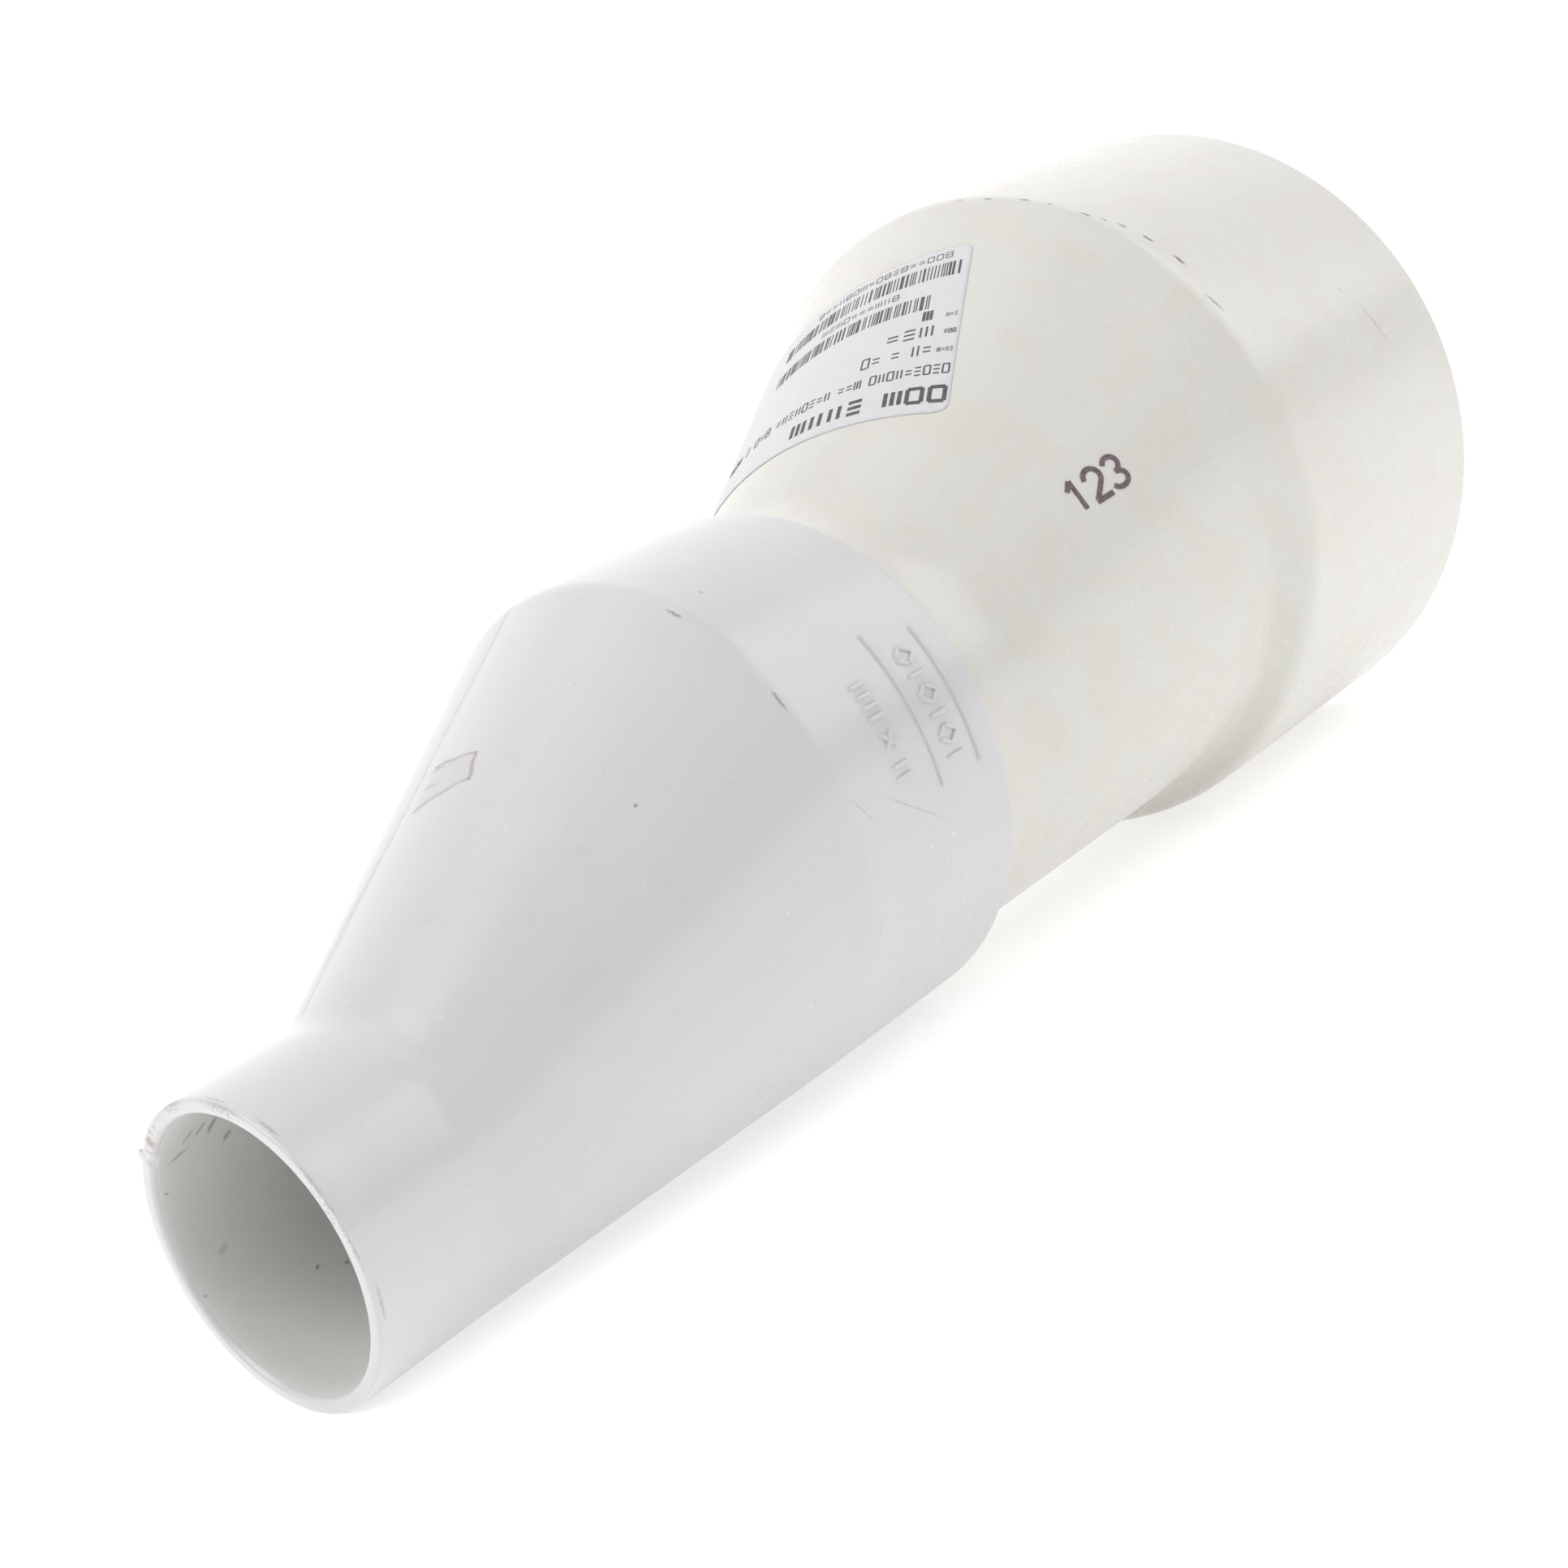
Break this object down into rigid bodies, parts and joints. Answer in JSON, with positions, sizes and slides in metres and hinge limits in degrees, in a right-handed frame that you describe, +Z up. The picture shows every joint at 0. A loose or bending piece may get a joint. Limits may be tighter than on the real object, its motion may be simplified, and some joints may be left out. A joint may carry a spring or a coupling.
{
  "type": "eccentric pipe reducer",
  "caption": "Eccentric pipe reducer, socket by socket, in white moulded PVC: two cemented reducers with a flat side, sloping tops, a spigot joint and a paper label.",
  "frame": {"origin": "centre of the bounding box's bottom face, on the floor plane that all three hubs touch", "axes": "+X along the pipe, from the small mouth to the big mouth; +Z up, away from the flat side, towards the slopes; +Y to the left, seen from the small mouth"},
  "size_m": [0.387, 0.1778, 0.1778],
  "materials": {
    "white_pvc": "moulded white PVC, satin gloss, faint bluish tint",
    "cream_pvc": "moulded off-white PVC, satin, slightly mottled",
    "solvent_cement": "dried solvent cement, glossy, slightly yellow",
    "label_paper": "coated white label paper with black printed bars",
    "tape_film": "clear packing tape film"
  },
  "bodies": {
    "root": {"small_reducer": "white_pvc", "large_reducer": "cream_pvc", "cement_bead": "solvent_cement", "paper_label": "label_paper", "clear_tape": "tape_film"}
  },
  "joints": []
}
